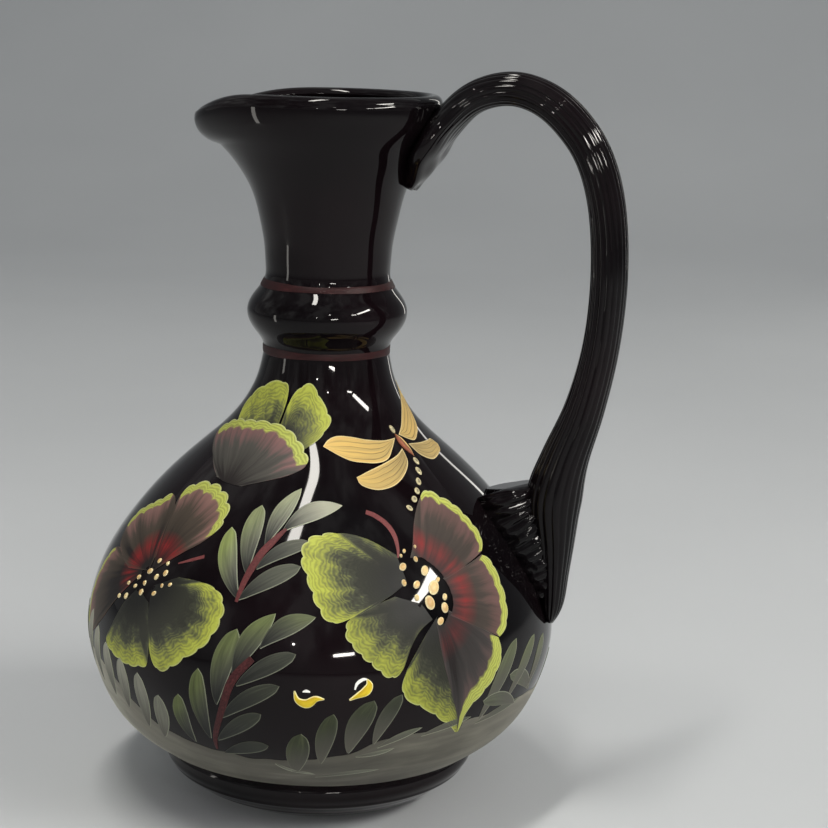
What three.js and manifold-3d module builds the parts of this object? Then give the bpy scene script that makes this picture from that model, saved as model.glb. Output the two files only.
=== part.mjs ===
// A handled pitcher of opaque black glass with fired enamel decoration.
// Millimetres, +Z up. The origin is the centre of the foot's flat underside. The handle is on +X, the spout
// on -X, and the XZ plane is the mirror plane of the glass. The painted side faces -Y.
import * as THREE from "three";
import { mergeVertices } from "three/addons/utils/BufferGeometryUtils.js";
import Module from "manifold-3d";

// Driving dimensions of the glass.
const RIM_HEIGHT = 230;
const BELLY_RADIUS = 76.7;
const BELLY_HEIGHT = 56;
const NECK_RADIUS = 20.3;
const MOUTH_RADIUS = 35.4;
const LIP_RADIUS = 2.6; // half the thickness of the fire-polished lip
const WALL = 3;

// The knop: a hollow ring blown into the neck.
const KNOP_HEIGHT = 160.3;
const KNOP_HALF_HEIGHT = 10.5;
const KNOP_DEPTH = 5.7;

// The spout: the mouth pulled out and its rolled lip turned down.
const SPOUT_REACH = 4;
const SPOUT_DROOP = 5.5;
const SPOUT_HALF_ANGLE = THREE.MathUtils.degToRad(32);
const SPOUT_START = 190; // height at which the neck begins to lean into the spout
const LIP_ROLL_HEIGHT = 221.5;
const LIP_ROLL_HALF_HEIGHT = 8.5;
const LIP_ROLL_DEPTH = 1;
const SPOUT_ROLL_DEPTH = 5.2;

// The foot: a round pad of glass pressed onto the underside of the belly, rounded up from a flat rest.
const FOOT_REST_RADIUS = 31;
const FOOT_RADIUS = 51.6;
const FOOT_TOP_HEIGHT = 17.8;

// The handle: a reeded strap with a wide pad at the mouth and a crimped pad on the belly.
const STRAP_THICKNESS = 11.6;
const STRAP_WIDTH = 17;
const REEDS = 12;
const REED_DEPTH = 0.05; // of the section's half size

// The enamel: thin coats that stand just off the glass.
const TOUCH_GAP = 0.3;
const ENAMEL_GAP = 0.35;
const ENAMEL_THICKNESS = 0.45;
const NECK_BAND_WIDTH = 2;
const UPPER_BAND_HEIGHT = 169.7;
const LOWER_BAND_HEIGHT = 148.4;
const GROUND_BAND_WIDTH = 21;
const GROUND_BAND_HEIGHT = 30;
const SKIN_MARGIN = 12; // extra height of the skin that a band is cut from

const AROUND = 40; // facets round the axis
const OUTER_ROWS = 2; // rows between two points of the outline, on the outside
const PETAL_POINTS = 24;
const DEGREE = Math.PI / 180;

const wasm = await Module();
wasm.setup();

const blackGlass = { color: 0x070708, roughness: 0.04, metalness: 0 };
const maroonEnamel = { color: 0x5a1a22, roughness: 0.4, metalness: 0 };
const groundEnamel = { color: 0x4f5249, roughness: 0.5, metalness: 0 };
const limeEnamel = { color: 0x7d8b3c, roughness: 0.45, metalness: 0 };
const plumEnamel = { color: 0x5d4340, roughness: 0.45, metalness: 0 };
const ochreEnamel = { color: 0xc79a4a, roughness: 0.45, metalness: 0 };
const leafEnamel = { color: 0x66705a, roughness: 0.45, metalness: 0 };
const yellowEnamel = { color: 0xd0b24a, roughness: 0.4, metalness: 0 };

// ---------------------------------------------------------------- solids and meshes

function solidFrom(geometry) {
  const bare = geometry.clone();
  bare.deleteAttribute("normal");
  bare.deleteAttribute("uv");
  const merged = mergeVertices(bare, 1e-4);
  return new wasm.Manifold(
    new wasm.Mesh({
      numProp: 3,
      vertProperties: new Float32Array(merged.attributes.position.array),
      triVerts: new Uint32Array(merged.index.array),
    }),
  );
}

function geometryFrom(solid) {
  const { vertProperties, triVerts } = solid.getMesh();
  const geometry = new THREE.BufferGeometry();
  geometry.setAttribute("position", new THREE.BufferAttribute(vertProperties, 3));
  geometry.setIndex(new THREE.BufferAttribute(triVerts, 1));
  geometry.computeVertexNormals();
  return geometry;
}

function piece(name, solid, finish) {
  const mesh = new THREE.Mesh(geometryFrom(solid), new THREE.MeshStandardMaterial(finish));
  mesh.name = name;
  return mesh;
}

function joined(solids) {
  return solids.reduce((whole, next) => whole.add(next));
}

// ---------------------------------------------------------------- the turned outline

const smoothStep = THREE.MathUtils.smoothstep;

function knopBulge(height) {
  const t = (height - KNOP_HEIGHT) / KNOP_HALF_HEIGHT;
  return Math.abs(t) < 1 ? KNOP_DEPTH * (1 - t * t) ** 1.5 : 0;
}

// Outside of the blown body as [radius, height], from the middle of the underside up to the lip.
const bodyPoints = [
  [0, 7],
  [28, 7.6],
  [45, 12.6],
  [54.5, 19.2],
  [68.6, 32],
  [BELLY_RADIUS, BELLY_HEIGHT],
  [70.8, 80],
  [53.3, 104],
  [30, 126],
  [22, 140],
  [NECK_RADIUS + 0.2, 150],
  [NECK_RADIUS, 156],
  [NECK_RADIUS, KNOP_HEIGHT],
  [NECK_RADIUS, 165],
  [NECK_RADIUS, 171],
  [NECK_RADIUS + 0.3, 181],
  [24.6, 199.5],
  [30.2, 211.5],
  [34.2, 220.5],
  [MOUTH_RADIUS, RIM_HEIGHT - LIP_RADIUS],
].map(([radius, height]) => new THREE.Vector2(radius, height));

const bodyCurve = new THREE.SplineCurve(bodyPoints);

// A point of the outside, moved along the surface's normal by `offset`, with the knop's ring added.
function outsidePoint(t, offset = 0) {
  const point = bodyCurve.getPoint(t);
  const tangent = bodyCurve.getTangent(t);
  const radius = point.x + knopBulge(point.y) + offset * tangent.y;
  return new THREE.Vector2(Math.max(radius, 0), point.y - offset * tangent.x);
}

function wallAt(height) {
  return WALL + (2 * LIP_RADIUS - WALL) * smoothStep(height, RIM_HEIGHT - 18, RIM_HEIGHT - LIP_RADIUS);
}

function outsideRows(rowsPerSpan, offset) {
  const last = (bodyPoints.length - 1) * rowsPerSpan;
  return Array.from({ length: last + 1 }, (_, i) => outsidePoint(i / last, offset));
}

// The closed outline of the wall: up the outside, over the lip, down the inside to the floor.
function wallOutline() {
  const outside = outsideRows(OUTER_ROWS, 0);
  const inside = outsideRows(1, 0).map((_, i) => {
    const t = i / (bodyPoints.length - 1);
    return outsidePoint(t, -wallAt(bodyCurve.getPoint(t).y));
  });
  inside[0].x = 0;
  const lip = [45, 90, 135].map(
    (angle) =>
      new THREE.Vector2(
        MOUTH_RADIUS - LIP_RADIUS + LIP_RADIUS * Math.cos(angle * DEGREE),
        RIM_HEIGHT - LIP_RADIUS + LIP_RADIUS * Math.sin(angle * DEGREE),
      ),
  );
  return [...outside, ...lip, ...inside.reverse()];
}

// How far a point at this height takes part in the spout, and in the roll of its lip.
function spoutShare(x, y) {
  const angle = Math.atan2(Math.abs(y), -x);
  return Math.exp(-((angle / SPOUT_HALF_ANGLE) ** 2));
}

function rollShare(height) {
  const t = (height - LIP_ROLL_HEIGHT) / LIP_ROLL_HALF_HEIGHT;
  return Math.abs(t) < 1 ? (1 - t * t) ** 0.75 : 0;
}

// The radius that parts the outside of the mouth from its inside.
function midWallRadius(height) {
  const top = outsideRows(8, 0).filter((p) => p.y > SPOUT_START - 5);
  const near = top.reduce((best, p) => (Math.abs(p.y - height) < Math.abs(best.y - height) ? p : best));
  return near.x - wallAt(height) / 2;
}

// Pulls the spout out of a turned shape. Only the outside carries the roll of the lip.
function pullSpout(geometry) {
  const position = geometry.attributes.position;
  const point = new THREE.Vector3();
  for (let i = 0; i < position.count; i++) {
    point.fromBufferAttribute(position, i);
    const radius = Math.hypot(point.x, point.y);
    if (radius < 1 || point.z < SPOUT_START - 1) continue;
    const share = spoutShare(point.x, point.y);
    const lean = smoothStep(point.z, SPOUT_START, RIM_HEIGHT);
    const roll = radius > midWallRadius(point.z) ? rollShare(point.z) : 0;
    const push = SPOUT_REACH * share * lean + (LIP_ROLL_DEPTH + SPOUT_ROLL_DEPTH * share) * roll;
    position.setXYZ(
      i,
      point.x * (1 + push / radius),
      point.y * (1 + push / radius),
      point.z - SPOUT_DROOP * share * lean * lean,
    );
  }
}

function turned(outline) {
  return new THREE.LatheGeometry(outline, AROUND).rotateX(Math.PI / 2);
}

function turnedWithSpout(outline) {
  const geometry = turned(outline);
  pullSpout(geometry);
  return solidFrom(geometry);
}

// The outside of the body as a filled solid, grown by `offset`, to cut pieces that lie on it.
function filledBody(offset) {
  const outline = outsideRows(OUTER_ROWS, offset);
  outline[0].x = 0;
  const lid = RIM_HEIGHT + offset;
  return turnedWithSpout([
    ...outline,
    new THREE.Vector2(MOUTH_RADIUS - LIP_RADIUS, lid),
    new THREE.Vector2(0, lid),
  ]);
}

// ---------------------------------------------------------------- the three bodies of glass

function makeVessel() {
  return turnedWithSpout(wallOutline());
}

function makeFoot(body) {
  const edge = new THREE.SplineCurve(
    [
      [FOOT_REST_RADIUS, 0],
      [FOOT_RADIUS - 12.6, 3.2],
      [FOOT_RADIUS - 5, 8],
      [FOOT_RADIUS - 0.8, 12.5],
      [FOOT_RADIUS, 15.5],
      [FOOT_RADIUS - 1.2, FOOT_TOP_HEIGHT],
    ].map(([radius, height]) => new THREE.Vector2(radius, height)),
  ).getPoints(10);
  const outline = [new THREE.Vector2(0, 0), ...edge, new THREE.Vector2(0, FOOT_TOP_HEIGHT)];
  return solidFrom(turned(outline)).subtract(body);
}

// A bar swept along stations [x, z, thickness, width] in the XZ plane, with reeds along it.
function sweptBar(stations, rings, sides, reeds) {
  const centre = new THREE.SplineCurve(stations.map(([x, z]) => new THREE.Vector2(x, z)));
  const size = new THREE.SplineCurve(stations.map(([, , thick, wide]) => new THREE.Vector2(thick, wide)));
  const bar = new THREE.CylinderGeometry(1, 1, 1, sides, rings);
  const position = bar.attributes.position;
  for (let i = 0; i < position.count; i++) {
    const t = position.getY(i) + 0.5;
    const point = centre.getPoint(t);
    const tangent = centre.getTangent(t);
    const { x: thick, y: wide } = size.getPoint(t);
    const angle = Math.atan2(position.getZ(i), position.getX(i));
    const reed = 1 + REED_DEPTH * Math.cos(reeds * angle);
    const across = (position.getX(i) * reed * thick) / 2;
    const aside = (position.getZ(i) * reed * wide) / 2;
    position.setXYZ(i, point.x - across * tangent.y, aside, point.y + across * tangent.x);
  }
  return solidFrom(bar);
}

// Stations from the tail of the mouth pad, over the arch and down to the tip on the belly.
const strapStations = [
  [26, 201.5, 5, 10],
  [29.6, 208, 8.5, 25],
  [34, 216, 9, 34],
  [38.8, 223, 9.5, 28],
  [46, 230, STRAP_THICKNESS - 1.6, 20],
  [57, 233.2, STRAP_THICKNESS - 1, STRAP_WIDTH],
  [67.5, 230.8, STRAP_THICKNESS - 0.6, STRAP_WIDTH],
  [76.4, 224.2, STRAP_THICKNESS, STRAP_WIDTH],
  [84.2, 213.5, STRAP_THICKNESS, STRAP_WIDTH],
  [89, 198, STRAP_THICKNESS, STRAP_WIDTH],
  [90.7, 177, STRAP_THICKNESS, STRAP_WIDTH],
  [89.2, 154.5, STRAP_THICKNESS, STRAP_WIDTH],
  [84.8, 134, STRAP_THICKNESS + 1.2, STRAP_WIDTH],
  [79.2, 117.5, STRAP_THICKNESS + 3.8, STRAP_WIDTH + 0.5],
  [76.2, 104, STRAP_THICKNESS + 6.5, STRAP_WIDTH + 2],
  [77.2, 90, STRAP_THICKNESS + 1, STRAP_WIDTH + 2],
  [77.6, 77, 8, STRAP_WIDTH - 2],
  [76.6, 65, 4, 7],
];

// Stations up the belly for the crimped pad that fills the corner behind the strap.
const padStations = [
  [76, 70, 8, 12],
  [74, 79, 14, 17],
  [69, 89, 19, 20],
  [63, 98, 22, 20],
  [60.5, 106, 21, 19],
];

function makeHandle(body) {
  const strap = sweptBar(strapStations, 40, 2 * REEDS, REEDS);
  const pad = sweptBar(padStations, 8, 2 * REEDS, REEDS);
  return joined([strap, pad]).subtract(body);
}

// ---------------------------------------------------------------- enamel coats

// The skin between two offsets of the body, from one height to another.
function enamelSkin(low, high) {
  const outline = (offset) => outsideRows(OUTER_ROWS, offset).filter((p) => p.x > NECK_RADIUS / 2);
  const from = (rows) => rows.filter((p) => p.y > low && p.y < high);
  const inner = from(outline(ENAMEL_GAP));
  const outer = from(outline(ENAMEL_GAP + ENAMEL_THICKNESS));
  return solidFrom(turned([...outer, ...inner.reverse(), outer[0]]));
}

// A painted ring round the body, `width` high, about one height.
function makeBand(height, width) {
  const low = height - width / 2;
  const high = height + width / 2;
  const slice = [
    new THREE.Vector2(0, low),
    new THREE.Vector2(BELLY_RADIUS + 5, low),
    new THREE.Vector2(BELLY_RADIUS + 5, high),
    new THREE.Vector2(0, high),
  ];
  return enamelSkin(low - SKIN_MARGIN, high + SKIN_MARGIN).intersect(solidFrom(turned(slice)));
}

// A flat outline stood up at `turn` degrees round the axis and pushed outwards from the axis, then cut out of
// the skin. The outline's own origin lands at `height`.
function painted(shapes, turn, height) {
  const stamps = shapes.map((shape) => {
    const geometry = new THREE.ExtrudeGeometry(shape, { depth: 1.5 * BELLY_RADIUS, bevelEnabled: false });
    geometry.rotateX(Math.PI / 2).rotateZ((turn + 90) * DEGREE).translate(0, 0, height);
    return solidFrom(geometry);
  });
  return enamelSkin(16, KNOP_HEIGHT - KNOP_HALF_HEIGHT).intersect(joined(stamps));
}

// A petal as an oval [across, up, width, height, tilt], with a scalloped edge.
function petalShape([across, up, width, height, tilt]) {
  const points = Array.from({ length: PETAL_POINTS }, (_, i) => {
    const angle = (i / PETAL_POINTS) * 2 * Math.PI;
    const reach = i % 2 ? 1 : 0.94;
    const point = new THREE.Vector2(width * Math.cos(angle), height * Math.sin(angle));
    point.multiplyScalar(reach / 2);
    return point.rotateAround(new THREE.Vector2(), tilt * DEGREE).add(new THREE.Vector2(across, up));
  });
  return new THREE.Shape(points);
}

// A pointed leaf from (x, y), `length` long, leaning `lean` degrees from upright.
function leafShape(x, y, length, width, lean) {
  const along = new THREE.Vector2(0, 1).rotateAround(new THREE.Vector2(), -lean * DEGREE);
  const aside = new THREE.Vector2(along.y, -along.x);
  const root = new THREE.Vector2(x, y);
  const at = (s, w) => root.clone().addScaledVector(along, s * length).addScaledVector(aside, w * width);
  return new THREE.Shape([at(0, 0), at(0.25, 0.42), at(0.6, 0.5), at(1, 0), at(0.6, -0.5), at(0.25, -0.42)]);
}

// A leaf spray: a leaning stem with pairs of leaves growing out of it.
function sprayShapes(stemLength, stemLean, pairs, leafLength) {
  const step = new THREE.Vector2(0, stemLength / pairs).rotateAround(new THREE.Vector2(), -stemLean * DEGREE);
  const shapes = [leafShape(0, 0, stemLength * 1.3, 2.2, stemLean)];
  for (let i = 0; i < pairs; i++) {
    const foot = step.clone().multiplyScalar(i + 0.4);
    shapes.push(leafShape(foot.x, foot.y, leafLength, 6, stemLean - 48));
    shapes.push(leafShape(foot.x, foot.y, leafLength, 6, stemLean + 48));
  }
  return shapes;
}

// Petals of each flower, measured from the middle of the flower: [across, up, width, height, tilt].
const topPetals = [
  [-10, 6, 13, 17, 20],
  [7, 5, 15, 17, -15],
  [-3, -5, 30, 15, 0],
];
const leftPetals = [
  [-17, 3, 30, 42, 25],
  [6, 16, 34, 22, 15],
  [14, -8, 28, 30, -10],
  [-6, -15, 26, 24, 0],
];
const rightPetals = [
  [-19, 10, 30, 26, -10],
  [-12, -7, 24, 24, 0],
  [4, -18, 22, 34, 15],
  [16, 4, 32, 56, 8],
];

// Wings as [length, width, lean], all from the thorax.
const wings = [
  [27, 6, -88],
  [19, 7, -138],
  [17, 6, 12],
  [13, 6, 84],
];

function dragonflyShapes() {
  const spread = wings.map(([length, width, lean]) => leafShape(0, -2, length, width, lean));
  return [...spread, leafShape(0, -11, 15, 3, 0)];
}

// ---------------------------------------------------------------- assembly

const body = filledBody(TOUCH_GAP);
const pitcher = new THREE.Group();
pitcher.add(
  piece("vessel", makeVessel(), blackGlass),
  piece("foot", makeFoot(body), blackGlass),
  piece("handle", makeHandle(body), blackGlass),
  piece("upper_neck_band", makeBand(UPPER_BAND_HEIGHT, NECK_BAND_WIDTH), maroonEnamel),
  piece("lower_neck_band", makeBand(LOWER_BAND_HEIGHT, NECK_BAND_WIDTH), maroonEnamel),
  piece("ground_band", makeBand(GROUND_BAND_HEIGHT, GROUND_BAND_WIDTH), groundEnamel),
  piece("top_flower", painted(topPetals.map(petalShape), -108, 126), limeEnamel),
  piece("left_flower", painted(leftPetals.map(petalShape), -128, 82), plumEnamel),
  piece("right_flower", painted(rightPetals.map(petalShape), -50, 77), plumEnamel),
  piece("dragonfly", painted(dragonflyShapes(), -33, 122), ochreEnamel),
  piece("upper_leaf_spray", painted(sprayShapes(17, 25, 3, 13), -95, 87), leafEnamel),
  piece("lower_leaf_spray", painted(sprayShapes(24, 25, 3, 14), -101, 43), leafEnamel),
  piece("left_crescent", painted([leafShape(-3, 0, 7, 3, 100)], -77, 56), yellowEnamel),
  piece("right_crescent", painted([leafShape(-3, 0, 6, 3, 75)], -68, 57), yellowEnamel),
);

export default pitcher;
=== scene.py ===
"""Looks of the handled pitcher: fine black glass, fired enamel painting, light and camera.

Shapes are worked out in millimetres and become metres when a mesh is made. The body's outline is
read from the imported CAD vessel, and everything that lies on the body follows it. A place on the
body is a turn in degrees round +Z, counted from the handle, and a height; the painted front is at
-90, the spout at 180.
"""

import math
from functools import partialmethod
from typing import NamedTuple

import bpy
import numpy as np
from mathutils import Matrix, Vector


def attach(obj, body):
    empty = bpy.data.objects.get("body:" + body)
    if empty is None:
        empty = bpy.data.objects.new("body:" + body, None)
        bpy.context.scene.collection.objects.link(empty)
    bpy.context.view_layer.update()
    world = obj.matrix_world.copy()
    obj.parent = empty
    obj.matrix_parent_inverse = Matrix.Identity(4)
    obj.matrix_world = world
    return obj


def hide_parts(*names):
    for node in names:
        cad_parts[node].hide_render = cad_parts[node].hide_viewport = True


MM = 0.001
BODY = "root"

# The glass, with the CAD's own driving dimensions.
RIM_HEIGHT = 230
MOUTH_RADIUS = 35.4
LIP_RADIUS = 2.6
WALL = 3
SPOUT_REACH = 4.6
SPOUT_DROOP = 5.5
SPOUT_HALF_ANGLE = 32
SPOUT_START = 190
SPOUT_ROLL_DEPTH = 3.9
LIP_ROLL_HEIGHT = 222.6
LIP_ROLL_HALF_HEIGHT = 7.4
FOOT_REST_RADIUS = 31
FOOT_RADIUS = 51.6
FOOT_TOP_HEIGHT = 17.8
FOOT_HOLLOW = 0.9
FOOT_SEAT_HEIGHT = 9
FOOT_RINGS = (5.4, 10)
FOOT_RING_DEPTH = 0.45
FOOT_RING_HALF_WIDTH = 0.7
STRAP_THICKNESS = 11.6
STRAP_WIDTH = 17
UPPER_BAND_HEIGHT = 169.7
LOWER_BAND_HEIGHT = 148.4
NECK_BAND_WIDTH = 2.4

# How finely the glass is meshed.
AROUND = 192
BODY_STEP = 1.1
INSIDE_STEP = 2.2 * BODY_STEP
LIP_DEGREES = 9
STRAP_STEP = 0.95
STRAP_SIDES = 180
PAD_STEP = 0.45
PAD_SIDES = 120
OUTLINE_STEP = 0.25

# Relief of the reeded strap and of the crimped pad behind it.
REEDS = 20
REED_DEPTH = 0.6
CRIMP_PITCH = 3.4
CRIMP_DEPTH = 1.1
# Depth of the handle's hidden side under the skin of the body.
HANDLE_SUNK = 1.2
# Unevenness of the blown body's radius.
BLOWN_WOBBLE = 0.16


# ---- small numeric tools


def smoothstep(value, low, high):
    t = np.clip((np.asarray(value, float) - low) / (high - low), 0, 1)
    return t * t * (3 - 2 * t)


def catmull_rom(points, per_span=16):
    """Points along a uniform Catmull-Rom curve, whose rows may hold any number of values."""
    p = np.asarray(points, float)
    p = np.vstack([p[:1], p, p[-1:]])
    t = (np.arange(per_span) / per_span)[:, None]
    spans = []
    for a, b, c, d in zip(p[:-3], p[1:-2], p[2:-1], p[3:]):
        spans.append(
            b
            + t * (c - a) / 2
            + t**2 * (a - 2.5 * b + 2 * c - d / 2)
            + t**3 * (1.5 * (b - c) + (d - a) / 2)
        )
    return np.vstack([*spans, p[-1:]])


def distance_along(path):
    """Distance from the start to each row of a path, measured on its first two columns."""
    steps = np.hypot(*np.diff(path[:, :2], axis=0).T)
    return np.concatenate([[0], np.cumsum(steps)])


def sampled(path, along, wanted):
    """The path's values at the wanted distances along it."""
    return np.column_stack([np.interp(wanted, along, column) for column in path.T])


def resampled(path, step):
    """The path with its rows spread evenly, about `step` apart."""
    along = distance_along(path)
    count = max(int(round(along[-1] / step)), 2)
    return sampled(path, along, np.linspace(0, along[-1], count + 1))


def unit(rows):
    """Each row scaled to a length of one."""
    return rows / np.linalg.norm(rows, axis=1)[:, None]


def softened(path, sigma):
    """The path smoothed by a Gaussian of `sigma` rows, with both ends kept in place."""
    reach = int(4 * sigma) + 1
    kernel = np.exp(-0.5 * (np.arange(-reach, reach + 1) / sigma) ** 2)
    kernel /= kernel.sum()
    head = 2 * path[:1] - path[1 : reach + 1][::-1]
    tail = 2 * path[-1:] - path[-reach - 1 : -1][::-1]
    padded = np.vstack([head, path, tail])
    return np.column_stack([np.convolve(column, kernel, "valid") for column in padded.T])


def natural_spline(knots, values, wanted):
    """Values at `wanted` on the natural cubic spline through the knots."""
    knots, values = np.asarray(knots, float), np.asarray(values, float)
    gap = np.diff(knots)
    slope = np.diff(values) / gap
    matrix = np.eye(len(knots))
    right = np.zeros(len(knots))
    for i in range(1, len(knots) - 1):
        matrix[i, i - 1 : i + 2] = gap[i - 1], 2 * (gap[i - 1] + gap[i]), gap[i]
        right[i] = 6 * (slope[i] - slope[i - 1])
    bend = np.linalg.solve(matrix, right)
    i = np.clip(np.searchsorted(knots, wanted) - 1, 0, len(gap) - 1)
    left, back, h = wanted - knots[i], knots[i + 1] - wanted, gap[i]
    curved = (bend[i] * back**3 + bend[i + 1] * left**3) / (6 * h)
    straight = (values[i] * back + values[i + 1] * left) / h
    return curved + straight - (bend[i] * back + bend[i + 1] * left) * h / 6


def ripple(*angles):
    """A smooth wave between -1 and 1 from a few phases, in place of random noise."""
    return sum(np.sin(angle) for angle in angles) / len(angles)


# ---- meshes


def new_object(name, data):
    """An object in the scene that shows some data."""
    made = bpy.data.objects.new(name, data)
    bpy.context.scene.collection.objects.link(made)
    return made


def mesh_piece(name, points, faces, nodes, material):
    """A smooth-shaded piece from points in millimetres, which stands for CAD nodes."""
    mesh = bpy.data.meshes.new(name)
    mesh.from_pydata((np.asarray(points, float) * MM).tolist(), [], faces)
    mesh.shade_smooth()
    mesh.materials.append(material)
    piece = new_object(name, mesh)
    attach(piece, BODY)
    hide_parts(*nodes)
    return piece


def grid_faces(rows, columns, first=0, wrap=True):
    """Quads between neighbouring points of a grid stored row by row."""
    faces = []
    for i in range(rows - 1):
        near = first + i * columns
        far = near + columns
        for j in range(columns if wrap else columns - 1):
            k = (j + 1) % columns
            faces.append((near + j, near + k, far + k, far + j))
    return faces


def closed_tube(rings, start, end):
    """Points and faces of rings of points, closed by a fan to one point at each end."""
    rows, columns = rings.shape[:2]
    points = np.vstack([rings.reshape(-1, 3), start, end])
    faces = grid_faces(rows, columns)
    first, last = rows * columns, rows * columns + 1
    base = (rows - 1) * columns
    for j in range(columns):
        k = (j + 1) % columns
        faces.append((first, k, j))
        faces.append((last, base + j, base + k))
    return points, faces


def round_axis(radius, turn, height):
    """Points at a distance from the axis, a turn in degrees and a height."""
    radius, angle, height = np.broadcast_arrays(radius, np.radians(turn), height)
    return np.stack([radius * np.cos(angle), radius * np.sin(angle), height], axis=-1)


def lathe_rings(outline, turns):
    """Rings of points round the axis from an outline of [radius, height]."""
    return round_axis(outline[:, :1], turns, outline[:, 1:])


# ---- the outside of the body


def cad_outline(node):
    """Outside of the CAD vessel where it faces the handle: rows of radius and height."""
    rows = {}
    for vertex in node.data.vertices:
        x, y, z = vertex.co / MM
        underneath = z < 13 and vertex.normal.z < -0.5
        faces_out = vertex.normal.x > 0.03 or underneath
        if abs(y) < 0.01 and x > -0.01 and faces_out and z < RIM_HEIGHT - LIP_RADIUS + 0.1:
            rows[round(z, 2)] = (max(x, 0), z)
    return np.array([rows[z] for z in sorted(rows)])


class Skin:
    """The outside of the glass body, as a smooth outline that enamel and glass share."""

    def __init__(self, node):
        rows = cad_outline(node)
        along = distance_along(rows)
        fine = np.arange(0, along[-1], OUTLINE_STEP)
        path = np.column_stack([natural_spline(along, column, fine) for column in rows.T])
        path = resampled(softened(path, 4), OUTLINE_STEP)
        self.arc = distance_along(path)
        radius = np.maximum(path[:, 0], 0)
        swell = radius.max() - rows[:, 0].max()
        self.radius, self.height = radius - swell * (radius / radius.max()) ** 6, path[:, 1]
        tangent = unit(np.gradient(path, self.arc, axis=0))
        self.normal = np.column_stack([tangent[:, 1], -tangent[:, 0]])

    def arc_at(self, height):
        return np.interp(height, self.height, self.arc)

    def rows_at(self, arc):
        """Radius, height and normal of the outline at each distance along it."""
        values = (self.radius, self.height, self.normal[:, 0], self.normal[:, 1])
        return [np.interp(arc, self.arc, value) for value in values]

    def places(self, turn, arc, lift=0.0):
        """Points `lift` above the skin, at turns in degrees and distances along the outline."""
        radius, height, out, up = self.rows_at(arc)
        return round_axis(radius + lift * out + hand_blown(turn, height), turn, height + lift * up)


def hand_blown(turn, height):
    """Slight unevenness of blown glass, in millimetres of radius."""
    angle = np.radians(turn)
    fade = smoothstep(height, 20, 45)
    broad = ripple(2 * angle + 0.7, 3 * angle - height / 31, angle + height / 23)
    return BLOWN_WOBBLE * fade * (broad - 1)


def wall_at(height):
    """Thickness of the glass, which swells into the rounded lip."""
    return WALL + (2 * LIP_RADIUS - WALL) * smoothstep(height, RIM_HEIGHT - 18, RIM_HEIGHT - LIP_RADIUS)


def pull_spout(points, with_roll):
    """Pulls the spout out of the turned mouth; `with_roll` adds the rolled lip of the outside."""
    x, y, z = points[..., 0], points[..., 1], points[..., 2]
    radius = np.maximum(np.hypot(x, y), 1e-6)
    angle = np.degrees(np.arctan2(np.abs(y), -x))
    share = np.exp(-((angle / SPOUT_HALF_ANGLE) ** 2))
    lean = smoothstep(z, SPOUT_START, RIM_HEIGHT)
    t = np.clip((z - LIP_ROLL_HEIGHT) / LIP_ROLL_HALF_HEIGHT, -1, 1)
    roll = np.sqrt(1 - np.abs(t) ** 3) if with_roll else 0
    push = SPOUT_REACH * share * lean + SPOUT_ROLL_DEPTH * share * roll
    grow = 1 + push / radius
    return np.stack([x * grow, y * grow, z - SPOUT_DROOP * share * lean**2], axis=-1)


# ---- glass pieces


def make_vessel(skin, material):
    turns = np.arange(AROUND) * 360 / AROUND
    arcs = np.linspace(1.5, skin.arc[-1], int(skin.arc[-1] / BODY_STEP))
    outside = pull_spout(skin.places(turns[None, :], arcs[:, None]), True)
    angle = np.radians(np.arange(LIP_DEGREES, 180, LIP_DEGREES))
    lip = LIP_RADIUS * np.column_stack([np.cos(angle) - 1, np.sin(angle) - 1]) + (MOUTH_RADIUS, RIM_HEIGHT)
    crest = len(lip) // 2
    outer_rim = pull_spout(lathe_rings(lip[:crest], turns), True)
    inner_rim = pull_spout(lathe_rings(lip[crest:], turns), False)
    inner_arcs = np.linspace(skin.arc[-1], 4, int(skin.arc[-1] / INSIDE_STEP))
    radius, height, out, up = skin.rows_at(inner_arcs)
    wall = wall_at(height)
    hollow = np.column_stack([np.maximum(radius - wall * out, 0.5), height - wall * up])
    inside = pull_spout(lathe_rings(hollow, turns), False)
    rings = np.concatenate([outside, outer_rim, inner_rim, inside])
    points, faces = closed_tube(rings, (0, 0, skin.height[0]), (0, 0, hollow[-1, 1]))
    mesh_piece("blown_vessel", points, faces, ["vessel"], material)


def make_foot(material):
    edge = [
        (FOOT_REST_RADIUS, 0),
        (FOOT_REST_RADIUS + 1.6, 0.25),
        (FOOT_RADIUS - 12.6, 3.2),
        (FOOT_RADIUS - 5, 8),
        (FOOT_RADIUS - 0.8, 12.5),
        (FOOT_RADIUS, 15.4),
        (FOOT_RADIUS - 0.7, 17.1),
        (FOOT_RADIUS - 3, FOOT_TOP_HEIGHT),
        (FOOT_RADIUS - 9, FOOT_TOP_HEIGHT - 1),
    ]
    edge = softened(resampled(catmull_rom(edge), 0.5), 1.5)
    underside = [(2, FOOT_HOLLOW), (20, FOOT_HOLLOW), (25, 0.6), (28, 0)]
    seat = [(30, FOOT_SEAT_HEIGHT + 0.5), (2, FOOT_SEAT_HEIGHT)]
    outline = np.vstack([underside, edge, seat])
    for ring in FOOT_RINGS:
        outline[:, 0] += FOOT_RING_DEPTH * np.exp(-(((outline[:, 1] - ring) / FOOT_RING_HALF_WIDTH) ** 2))
    rings = lathe_rings(outline, np.arange(AROUND) * 360 / AROUND)
    points, faces = closed_tube(rings, (0, 0, FOOT_HOLLOW), (0, 0, FOOT_SEAT_HEIGHT))
    mesh_piece("pressed_foot", points, faces, ["foot"], material)


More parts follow.
